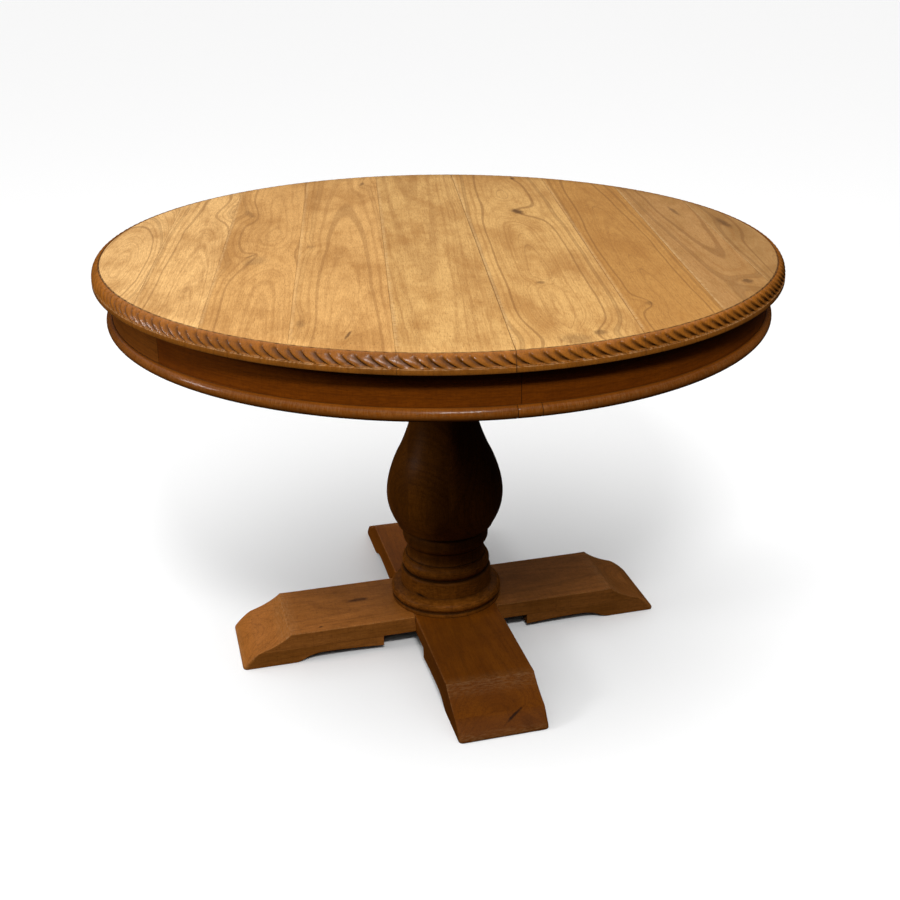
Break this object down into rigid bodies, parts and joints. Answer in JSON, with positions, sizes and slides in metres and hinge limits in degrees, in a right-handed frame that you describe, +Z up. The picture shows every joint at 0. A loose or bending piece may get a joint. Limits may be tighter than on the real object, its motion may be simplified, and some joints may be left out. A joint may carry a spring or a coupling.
{
  "type": "round pedestal table",
  "caption": "Round boarded dining table with a carved rope edge, curved apron and bead, turned pear-shaped column and a cross base with ogee feet.",
  "frame": {"origin": "centre of the footprint at floor level, on the column's axis", "axes": "+Z up, -Y is the front, +X to the right when seen from the front"},
  "size_m": [1.2, 1.2, 0.77],
  "materials": {
    "sanded_top": "honey mango wood, sanded and waxed",
    "stained_wood": "brown stained mango wood, waxed to a low sheen",
    "raw_wood": "plain planed wood, unfinished",
    "steel": "dull zinc-plated steel"
  },
  "bodies": {
    "root": {"top_board_1": "sanded_top", "top_board_2": "sanded_top", "top_board_3": "sanded_top", "top_board_4": "sanded_top", "top_board_5": "sanded_top", "top_board_6": "sanded_top", "top_board_7": "sanded_top", "top_board_8": "sanded_top", "top_board_9": "sanded_top", "apron_segment_1": "stained_wood", "apron_segment_2": "stained_wood", "apron_segment_3": "stained_wood", "apron_segment_4": "stained_wood", "apron_segment_5": "stained_wood", "apron_segment_6": "stained_wood", "bead_strip_1": "stained_wood", "bead_strip_2": "stained_wood", "bead_strip_3": "stained_wood", "bead_filler": "stained_wood", "turned_column": "stained_wood", "front_back_beam": "stained_wood", "left_right_beam": "stained_wood", "right_foot_pad": "stained_wood", "back_foot_pad": "stained_wood", "left_foot_pad": "stained_wood", "front_foot_pad": "stained_wood", "glue_block_1": "raw_wood", "glue_block_2": "raw_wood", "glue_block_3": "raw_wood", "glue_block_4": "raw_wood", "glue_block_5": "raw_wood", "glue_block_6": "raw_wood", "front_batten": "raw_wood", "back_batten": "raw_wood", "long_bearer": "raw_wood", "short_bearer": "raw_wood", "top_plate": "raw_wood", "front_dowel": "raw_wood", "back_dowel": "raw_wood", "batten_screw_1": "steel", "batten_screw_2": "steel", "batten_screw_3": "steel", "batten_screw_4": "steel", "batten_screw_5": "steel", "batten_screw_6": "steel", "bearer_screw_1": "steel", "bearer_screw_2": "steel", "bearer_screw_3": "steel", "bearer_screw_4": "steel", "coach_screw_1": "steel", "coach_screw_2": "steel", "coach_screw_3": "steel", "coach_screw_4": "steel", "lower_washer": "steel", "lower_nut": "steel", "upper_washer": "steel", "upper_nut": "steel", "tie_rod": "steel"}
  },
  "joints": []
}
